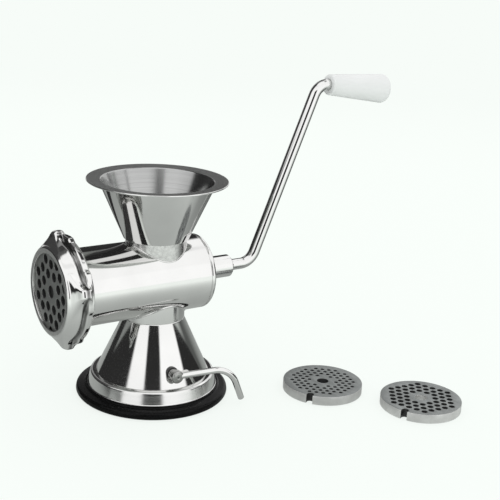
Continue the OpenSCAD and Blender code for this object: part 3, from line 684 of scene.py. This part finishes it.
for face in funnel.data.polygons:
    inward = face.normal.x * face.center.x + face.normal.y * face.center.y < 0
    on_rim = face.center.xy.length > FUNNEL_MOUTH_R * MM and face.normal.z > 0.9
    face.material_index = 2 if on_rim else int(inward)
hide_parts("hopper_funnel")


# ---------------------------------------------------------------- ring nut
# A cast stainless nut, polished outside. Its lip holds the plate, its skirt widens to a flange, and
# four hollow-flanked lugs give a grip for the hand.

NUT_OPEN_R, NUT_FACE_R, NUT_FACE_ROUND = 27.7, 30.6, 2.2
NUT_FRONT, NUT_LIP, NUT_REAR = -85.6, -83.6, -68.2
NUT_OUTSIDE = [
    (-84.4, 32.6), (-83.7, 33.0), (-82.0, 33.8), (-80.0, 34.7), (-78.2, 35.5), (-77.2, 35.9),
    (-76.4, 35.9), (-75.8, 35.4), (-75.2, 34.8), (-74.7, 34.4), (-74.1, 34.6), (-73.5, 35.6), (-73.2, 36.2),
]
FLANGE_FRONT, FLANGE_ROUND = -73.2, 1.3
FLANGE_R, LOBE_R, LOBE_HALF, LOBE_SOFT = 37.6, 39.4, 22.0, 4.0
NUT_POCKET_R, NUT_BORE_R = 31.1, 33.3
LUGS, LUG_TURN = 4, 13.0
LUG_TIP_R, LUG_TIP_HALF, LUG_ROOT_R, LUG_ROOT_HALF = 43.0, 3.4, 35.0, 11.0
POCKET_REAR = -80.1
GROOVE_AT = -74.4
LUG_RISE = [
    (-86.0, 20.0), (-84.4, 28.5), (-83.0, 33.2), (-81.6, 36.0), (-80.2, 38.0), (-79.0, 40.4),
    (-78.0, 42.6), (-77.0, 44.0), (-76.0, 45.0), (-72.6, 45.0), (-71.6, 44.0), (-70.8, 41.6),
    (-70.1, 38.5), (-69.4, 35.0), (-68.2, 30.0),
]


def soft_max(a, b, blend):
    """The larger of two lengths, rounded over where they are close."""
    h = max(blend - abs(a - b), 0) / blend
    return max(a, b) + h * h * blend / 4


def soft_min(a, b, blend):
    return -soft_max(-a, -b, blend)


def lug_reach(off):
    """How far a lug's outline stands from the barrel's axis, `off` radians from its middle."""
    low, high = LUG_ROOT_R / 2, LUG_TIP_R + 4
    for _ in range(40):
        r = (low + high) / 2
        share = max(0.0, (LUG_TIP_R - r) / (LUG_TIP_R - LUG_ROOT_R))
        half = LUG_TIP_HALF + (LUG_ROOT_HALF - LUG_TIP_HALF) * share ** 1.8
        half -= max(0, r - LUG_TIP_R) * 0.5
        low, high = (r, high) if math.atan2(half, r) > abs(off) else (low, r)
    return soft_min(low, LUG_TIP_R, 3.0)


def along(stops, y, soft=0.35):
    """The value at y on a line through the stops, with its bends softened."""
    def at(y):
        for (y0, v0), (y1, v1) in zip(stops, stops[1:]):
            if y <= y1:
                return v0 + (v1 - v0) * max(0.0, (y - y0) / (y1 - y0))
        return stops[-1][1]
    return (at(y - soft) + 2 * at(y) + at(y + soft)) / 4


def nut_outside(y, off, tip):
    """The casting's radius at a place along it, `off` radians from the nearest lug's middle."""
    plain = along(NUT_OUTSIDE, y)
    if y > FLANGE_FRONT:
        t = (LOBE_HALF + LOBE_SOFT - abs(math.degrees(off))) / (2 * LOBE_SOFT)
        t = min(1.0, max(0.0, t))
        full = FLANGE_R + (LOBE_R - FLANGE_R) * t * t * (3 - 2 * t)
        edge = max(0.0, 1 - min(y - FLANGE_FRONT, NUT_REAR - y) / FLANGE_ROUND)
        plain = full - FLANGE_ROUND * (1 - math.sqrt(max(0.0, 1 - edge * edge)))
    return soft_max(plain, soft_min(tip, along(LUG_RISE, y, 0.8), 4.0), 3.0)


def nut_mesh(name, **kind):
    """The ring nut. Its front edge is turned, and its outside is laid out on a grid of angles. A row
    without a radius follows the casting's outside."""
    offs = [math.radians(0.3 * i) for i in range(-80, 81)]
    offs += [math.radians(25 + 2.0 * i) for i in range(21)]
    reach = [lug_reach(off) for off in offs]
    turns = [(math.radians(90 * k - LUG_TURN) + off, min(off, math.radians(90) - off, key=abs), tip)
             for k in range(LUGS) for off, tip in zip(offs, reach)]
    rows = [(NUT_LIP, NUT_OPEN_R), (NUT_FRONT + 0.5, NUT_OPEN_R)]
    for a in (0.5, 1.0, 1.57):
        rows.append((NUT_FRONT + 0.5 - 0.5 * math.sin(a), NUT_OPEN_R + 0.5 - 0.5 * math.cos(a)))
    rows += [(NUT_FRONT, NUT_OPEN_R + 0.8), (NUT_FRONT, NUT_FACE_R - 0.2)]
    for i in range(8):
        a = math.radians(60) * i / 7
        back = NUT_FACE_ROUND * (1 - math.cos(a))
        rows.append((NUT_FRONT + back, NUT_FACE_R + NUT_FACE_ROUND * math.sin(a)))
    y = NUT_OUTSIDE[0][0]
    while y < FLANGE_FRONT:
        rows.append((y, None))
        y += 0.28
    count = 22
    for i in range(count):
        share = 0.5 - 0.5 * math.cos(math.pi * (i + 0.5) / count)
        rows.append((FLANGE_FRONT + (NUT_REAR - FLANGE_FRONT) * share, None))
    rows += [(NUT_REAR, FLANGE_R - FLANGE_ROUND), (NUT_REAR, NUT_BORE_R + 0.3), (NUT_REAR - 0.3, NUT_BORE_R),
             (POCKET_REAR, NUT_BORE_R), (POCKET_REAR, NUT_POCKET_R), (NUT_LIP, NUT_POCKET_R)]
    points = []
    for y, given in rows:
        for a, off, tip in turns:
            r = nut_outside(y, off, tip) if given is None else given
            points.append((r * math.cos(a), r * math.sin(a), y))
    return piece(name, points, grid_faces(len(rows), len(turns)), **kind)


def paint_groove_shade(material):
    """Painted shade: darkens the groove before the flange, in uneven patches."""
    tree = material.node_tree
    bsdf = tree.nodes["Principled BSDF"]
    part = node(tree, "SeparateXYZ", {0: node(tree, "TexCoord").outputs["Object"]}).outputs
    beside = maths(tree, "ABSOLUTE", maths(tree, "SUBTRACT", part["Y"], GROOVE_AT * MM))
    inside = spread(tree, beside, 1, 0, 0.6 * MM, 1.9 * MM)
    share = maths(tree, "MULTIPLY", inside, spread(tree, spots(tree, 120, 2), 0.6, 1))
    plain = bsdf.inputs["Base Color"].links[0].from_socket
    tree.links.new(blend_colour(tree, share, plain, (0.05, 0.05, 0.05, 1)), bsdf.inputs["Base Color"])
    return material


# The nut's groove is darkened with painted shade.
nut_steel = paint_groove_shade(marked_steel("polished_nut", "Y", BARREL_Z * MM, smooth=0.04, rough=0.10,
                                        wave=0.35))
nut = nut_mesh("ring_nut_casting", place=ALONG_BARREL, body="nut")
dress(nut, nut_steel, machined_steel("faced_nut_front", (0.66, 0.66, 0.65), 0.24, 0.40))
for face in nut.data.polygons:
    face.material_index = int(face.center.y < (NUT_FRONT + 0.05) * MM)
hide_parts("ring_nut")


# ---------------------------------------------------------------- grinding plates
# Three discs of hardened steel with a blasted face and a ground rim, each drilled with a different
# size of hole and notched for the key. The coarse one is in the nut, and two spares lie on the table.

PLATE_R, PLATE_T, PLATE_BORE_R = 31.0, 7.0, 4.5
NOTCH_W, NOTCH_D = 5.0, 2.6
HOLE_EDGE = 0.22
COARSE_RINGS = [(13.1, 22.5), (20.2, 0.0), (23.6, 22.5)]
COARSE_R = 3.5
FINE = {"pitch": 5.25, "r": 1.5, "near": 4, "far": 21, "turn": -14.0, "notch": -57.0}
MEDIUM = {"pitch": 6.3, "r": 2.25, "near": 3, "far": 16, "turn": 22.5, "notch": -67.0}


def ring_points(x, y, radius, count):
    return [(x + radius * math.cos(2 * math.pi * k / count), y + radius * math.sin(2 * math.pi * k / count))
            for k in range(count)]


def turned_point(x, y, angle):
    return x * math.cos(angle) - y * math.sin(angle), x * math.sin(angle) + y * math.cos(angle)


def notched_circle(notch):
    """The plate's rim, with a round-bottomed notch cut in at that angle."""
    half = math.asin(NOTCH_W / 2 / PLATE_R)
    open_angle = 2 * math.pi - 2 * half
    rim = [turned_point(PLATE_R, 0, half + open_angle * k / 180) for k in range(181)]
    middle = PLATE_R - NOTCH_D
    low = [(middle + NOTCH_W / 2 * math.cos(a), NOTCH_W / 2 * math.sin(a))
           for a in (math.radians(-90 - 15 * k) for k in range(13))]
    return [turned_point(x, y, math.radians(notch)) for x, y in rim + low]


def hole_grid(pitch, near, far, turn, **_):
    """Hole centres on a triangular grid, between two squared distances in grid steps."""
    found = []
    for q in range(-5, 6):
        for r in range(-5, 6):
            if near <= q * q + r * r + q * r <= far:
                x, y = pitch * (q + r / 2), pitch * r * math.sqrt(3) / 2
                found.append(turned_point(x, y, math.radians(turn)))
    return found


def drilled_plate(name, notch, centres, radius, place, body):
    """A plate cut from a flat outline with round holes. Its edges are slightly bevelled."""
    curve = bpy.data.curves.new(name, "CURVE")
    curve.dimensions = "2D"
    curve.fill_mode = "BOTH"
    curve.extrude = (PLATE_T / 2 - HOLE_EDGE) * MM
    curve.bevel_depth = HOLE_EDGE * MM
    curve.bevel_resolution = 2
    curve.offset = -HOLE_EDGE * MM
    loops = [notched_circle(notch), ring_points(0, 0, PLATE_BORE_R, 64)]
    loops += [ring_points(x, y, radius, 32) for x, y in centres]
    for loop in loops:
        spline = curve.splines.new("POLY")
        spline.points.add(len(loop) - 1)
        spline.use_cyclic_u = True
        for point, (x, y) in zip(spline.points, loop):
            point.co = (x * MM, y * MM, 0, 1)
    flat = bpy.data.objects.new(name + "_flat", curve)
    bpy.context.scene.collection.objects.link(flat)
    bpy.context.view_layer.update()
    ready = flat.evaluated_get(bpy.context.evaluated_depsgraph_get())
    mesh = bpy.data.meshes.new_from_object(ready)
    bpy.data.objects.remove(flat)
    mesh.name = name
    mesh.transform(Matrix.Translation((0, 0, PLATE_T / 2 * MM)))
    mesh.transform(place)
    work = bmesh.new()
    work.from_mesh(mesh)
    bmesh.ops.remove_doubles(work, verts=work.verts, dist=1e-6)
    bmesh.ops.recalc_face_normals(work, faces=work.faces)
    work.to_mesh(mesh)
    work.free()
    mesh.shade_smooth()
    mesh.set_sharp_from_angle(angle=math.radians(35))
    made = bpy.data.objects.new(name, mesh)
    bpy.context.scene.collection.objects.link(made)
    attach(made, body)
    return made


def draw_blasting(group, taken):
    """The fine grain and the soft clouds that bead blasting leaves."""
    grain = spots(group, 2600, 3, 0.7)
    cloud = spots(group, 90, 4)
    tone = maths(group, "MULTIPLY_ADD", grain, 0.5, spread(group, cloud, 0, 0.5))
    return spread(group, cloud, taken["Smooth"], taken["Rough"]), tone, grain


BLASTING = surface_marks("blast_marks", ("Smooth", "Rough"), draw_blasting)


def blasted_steel(name, colour, metallic=1):
    """Dull grey steel from bead blasting."""
    return finish(name, BLASTING, shade(colour, 1.15), shade(colour, 0.8), (0.35, 0.00006),
                  {"Smooth": 0.42, "Rough": 0.56}, metallic)


dull = blasted_steel("blasted_plate", (0.42, 0.43, 0.42))
spare_dull = blasted_steel("blasted_spare_plate", (0.26, 0.275, 0.27), 0.55)
ground = blasted_steel("ground_rim", (0.74, 0.74, 0.73))
# Near-black walls of the holes and the notch: painted shade.
hole_wall_shade = blasted_steel("hole_walls_painted_shade", (0.030, 0.030, 0.030), 0.3)


def finish_plate(made, node_name, axis, centre, face_steel, painted_light_bore=False):
    """A dull face, a brighter ground rim, and painted shade on the walls of the holes and the notch;
    painted_light_bore paints the bore lighter with the ground finish instead.
    """
    dress(made, face_steel, ground, hole_wall_shade)
    for face in made.data.polygons:
        away = face.center - centre
        away -= axis * away.dot(axis)
        lean = abs(face.normal.dot(axis))
        if away.length > (PLATE_R - 0.7) * MM:
            face.material_index = int(lean < 0.9)
        else:
            # Painted light: the medium plate's bore takes the brighter ground finish.
            bright = painted_light_bore and away.length < (PLATE_BORE_R + 0.3) * MM
            face.material_index = 0 if lean > 0.3 else (1 if bright else 2)
    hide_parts(node_name)


coarse_place = Matrix.Translation((0, BARREL_FRONT * MM, BARREL_Z * MM))
coarse_place = coarse_place @ Matrix.Rotation(math.pi / 2, 4, "X")
coarse_centres = [turned_point(r, 0, math.radians(first + 45 * k))
                  for r, first in COARSE_RINGS for k in range(8)]
coarse = drilled_plate("coarse_plate_disc", -90.0, coarse_centres, COARSE_R, coarse_place, "front_plate")
finish_plate(coarse, "coarse_plate", Vector((0, 1, 0)), Vector((0, 0, BARREL_Z * MM)), dull)

for label, pattern in (("fine", FINE), ("medium", MEDIUM)):
    low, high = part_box(label + "_plate")
    middle = (low + high) / 2
    spare = drilled_plate(label + "_plate_disc", pattern["notch"], hole_grid(**pattern), pattern["r"],
                          Matrix.Translation((middle.x, middle.y, 0)), "spare_" + label)
    # The medium plate's bore is painted lighter.
    finish_plate(spare, label + "_plate", Vector((0, 0, 1)), middle, spare_dull, label == "medium")


# ---------------------------------------------------------------- inside the barrel
# A cast worm pushes the meat forward, and a four-winged knife on its square stud cuts it against the
# plate. A steel shaft in a plastic bush and washer drives them from the rear.


def draw_moulding(group, taken):
    """The slight unevenness of a moulded face."""
    cloud = spots(group, 45, 3)
    gloss = spread(group, cloud, taken["Smooth"], taken["Rough"])
    return gloss, spread(group, cloud, 0, 1), spots(group, 700, 2)


MOULDING = surface_marks("mould_marks", ("Smooth", "Rough"), draw_moulding)


def moulded(name, colour, roughness=0.42, **shader):
    """Moulded plastic."""
    return finish(name, MOULDING, colour, shade(colour, 0.965), (0.04, 0.0001),
                  {"Smooth": roughness - 0.06, "Rough": roughness + 0.06}, metallic=0, **shader)


machined = machined_steel("machined_parts")
cast_worm = machined_steel("cast_worm", (0.46, 0.46, 0.45), 0.30, 0.46)
nylon = moulded("nylon_bush", (0.80, 0.77, 0.68))
dark_steel = machined_steel("oiled_dark_steel", (0.10, 0.10, 0.10), 0.26, 0.42)
dress(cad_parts["worm"], cast_worm)
for name in ("knife", "worm_stud"):
    dress(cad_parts[name], dark_steel)
for name in ("drive_shaft", "plate_key", "thread_collar"):
    dress(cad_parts[name], machined)
for name in ("rear_bush", "thrust_washer"):
    dress(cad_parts[name], nylon)


# ---------------------------------------------------------------- suction lock
# A cam on the lever's shaft lifts a yoke and a disc inside the rubber pad, under a thin steel dish.
# The shaft turns in two plastic bushes, and a clip keeps it in.

for name in ("backing_dish", "pull_yoke", "pull_disc", "lever_shaft", "shaft_clip"):
    dress(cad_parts[name], machined)

SHAFT_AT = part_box("lever_bushes")[1].x / MM, -4.6, 27.8
SHAFT_FIT_R, BUSH_R, BUSH_LEN, BUSH_SUNK = 4.05, 4.8, 9.0, 1.4
for side, mark in ((1, "near"), (-1, "far")):
    outwards = Matrix.Translation((side * SHAFT_AT[0], *SHAFT_AT[1:]))
    outwards = outwards @ Matrix.Rotation(side * math.pi / 2, 4, "Y")
    bush = turned("lever_bush_" + mark, [
        (SHAFT_FIT_R, -BUSH_LEN), (BUSH_R, -BUSH_LEN), (BUSH_R, -BUSH_SUNK, 0.3), (SHAFT_FIT_R, -BUSH_SUNK),
    ], outwards, sides=64)
    dress(bush, dark_steel)
    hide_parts("lever_bushes")


# ---------------------------------------------------------------- lever
# A thin polished rod is welded through a small turned hub on the cam's shaft. It runs level beside
# the base, then bends down to the table so that a finger can hook it.

HUB_BACK, HUB_FRONT, HUB_STEM_R, HUB_R = 4.0, 2.5, 3.9, 4.9
HUB_AT = (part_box("lever_hub")[0].x / MM + HUB_BACK, *SHAFT_AT[1:])
LEVER_R = 2.4
LEVER_SPLAY, LEVER_RISE = 12.0, 3.0
LEVER_LEN, LEVER_BEND_R, LEVER_BEND, LEVER_TIP = 29.0, 18.3, 72.0, 14.6


def ahead(point, distance):
    """A step straight on. A point on a rod's centre line is (u, v, heading)."""
    u, v, heading = point
    return (u + distance * math.cos(heading), v + distance * math.sin(heading), heading)


def bent(point, radius, turn, steps=28):
    """The points along a bend that turns by `turn` degrees."""
    u, v, heading = point
    side = math.copysign(radius, turn)
    line = []
    for i in range(1, steps + 1):
        a = heading + math.radians(turn) * i / steps
        forward = side * (math.sin(a) - math.sin(heading))
        line.append((u + forward, v + side * (math.cos(heading) - math.cos(a)), a))
    return line


def rod(name, line, radius, place, edge=0.8, sides=40, **kind):
    """A round rod along a flat centre line, with rounded ends."""
    def end(point, sign):
        steps = [math.pi / 2 * k / 4 for k in range(4)]
        round_off = [(sign * edge * (math.sin(t) - 1), radius - edge * (1 - math.cos(t))) for t in steps]
        return [(ahead(point, back), r) for back, r in round_off + [(0, radius - edge)]]

    rings = end(line[0], -1)[::-1] + [(p, radius) for p in line[1:-1]] + end(line[-1], 1)
    points = []
    for (u, v, heading), r in rings:
        for k in range(sides):
            out, lift = r * math.cos(2 * math.pi * k / sides), r * math.sin(2 * math.pi * k / sides)
            points.append((u - out * math.sin(heading), v + out * math.cos(heading), lift))
    count = len(rings)
    faces = grid_faces(count, sides, close_rows=False)
    faces += [tuple(range(sides)), tuple((count - 1) * sides + k for k in reversed(range(sides)))]
    return piece(name, points, faces, place, **kind)


rod_steel = marked_steel("polished_rod", "Z", smooth=0.05, rough=0.11, lines=120.0, wave=0.15)
lever_place = (Matrix.Translation(HUB_AT) @ Matrix.Rotation(math.radians(90 - LEVER_SPLAY), 4, "Z")
               @ Matrix.Rotation(math.pi / 2, 4, "X") @ Matrix.Rotation(math.radians(LEVER_RISE), 4, "Z"))
straight_end = ahead((0, 0, 0), LEVER_LEN)
lever_line = [ahead((0, 0, 0), -1.5), (0, 0, 0), ahead((0, 0, 0), 8), ahead((0, 0, 0), 20), straight_end]
lever_line += bent(straight_end, LEVER_BEND_R, -LEVER_BEND)
lever_line += [ahead(lever_line[-1], LEVER_TIP - 1.2), ahead(lever_line[-1], LEVER_TIP)]
lever = rod("lever_bent_rod", lever_line, LEVER_R, lever_place, body="lever")
dress(lever, rod_steel)
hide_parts("lever_rod")

ALONG_SHAFT = Matrix.Translation(HUB_AT) @ Matrix.Rotation(math.pi / 2, 4, "Y")
hub = turned("lever_turned_hub", [
    (0.01, -HUB_BACK), (HUB_STEM_R, -HUB_BACK, 0.2), (HUB_STEM_R, -1.9, 0.4), (HUB_R, -1.7, 0.5),
    (HUB_R, HUB_FRONT, 1.3), (HUB_R * 0.5, HUB_FRONT + 0.6, 2.0), (0.01, HUB_FRONT + 0.8),
], ALONG_SHAFT, sides=72, body="lever")
dress(hub, machined_steel("machined_hub", (0.42, 0.42, 0.41), 0.16, 0.34))
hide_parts("lever_hub")


# ---------------------------------------------------------------- crank
# One rod of polished steel, bent twice: out of the drive shaft, up the arm, then along the grip's
# axis as its spindle.

CRANK_R = 4.35
SHAFT_END = 60.0
CRANK_Y = 86.2
ARM_LEN, ARM_UP = 150.2, 68.1
LOW_BEND_R, TOP_BEND_R = 14.0, 12.5
DROOP = 4.9
SPINDLE_END = 61.7

top_turn = ARM_UP + DROOP
low_cut = LOW_BEND_R * math.tan(math.radians(ARM_UP / 2))
top_cut = TOP_BEND_R * math.tan(math.radians(top_turn / 2))
crank_place = Matrix.Translation((0, SHAFT_END, BARREL_Z)) @ Matrix((
    (0, 0, 1, 0), (1, 0, 0, 0), (0, 1, 0, 0), (0, 0, 0, 1)))
crank_line = [(0, 0, 0), ahead((0, 0, 0), 1), ahead((0, 0, 0), CRANK_Y - low_cut - SHAFT_END)]
crank_line += bent(crank_line[-1], LOW_BEND_R, ARM_UP)
crank_line += [ahead(crank_line[-1], (ARM_LEN - low_cut - top_cut) * k / 6) for k in range(1, 7)]
crank_line += bent(crank_line[-1], TOP_BEND_R, -top_turn)
crank_line += [ahead(crank_line[-1], SPINDLE_END - top_cut - back) for back in (1, 0)]
crank = rod("crank_bent_rod", crank_line, CRANK_R, crank_place, sides=56, body="drive")
dress(crank, rod_steel)
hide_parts("crank_arm")


# ---------------------------------------------------------------- grip
# A tapering handle moulded in white plastic turns on the crank's spindle. A washer and a cross-headed
# screw in its end keep it on.

GRIP_START, GRIP_LEN = 10.0, 57.4
GRIP_NEAR_R, GRIP_FAR_R = 8.1, 11.8
GRIP_BORE_R = 4.43
SCREW_WELL_R, SCREW_WELL_DEEP = 7.0, 6.0

corner_y = CRANK_Y + ARM_LEN * math.cos(math.radians(ARM_UP))
corner_z = BARREL_Z + ARM_LEN * math.sin(math.radians(ARM_UP))
grip_place = Matrix.Translation((0, corner_y, corner_z)) @ Matrix.Rotation(math.radians(-90 - DROOP), 4, "X")
grip_far = GRIP_START + GRIP_LEN
white_plastic = moulded("white_plastic", (0.74, 0.755, 0.75), 0.34, Coat_Weight=0.15)
handle = turned("grip_handle", [
    (GRIP_BORE_R, GRIP_START, 0.3), (GRIP_NEAR_R, GRIP_START, 1.5), (GRIP_FAR_R, grip_far, 3.5),
    (SCREW_WELL_R, grip_far, 0.5), (SCREW_WELL_R, grip_far - SCREW_WELL_DEEP, 0.4),
    (GRIP_BORE_R, grip_far - SCREW_WELL_DEEP, 0.2),
], grip_place, sides=128, body="handgrip", slot="white_plastic")
dress(handle, white_plastic)
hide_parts("grip")
for name in ("grip_washer", "grip_screw"):
    dress(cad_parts[name], machined)
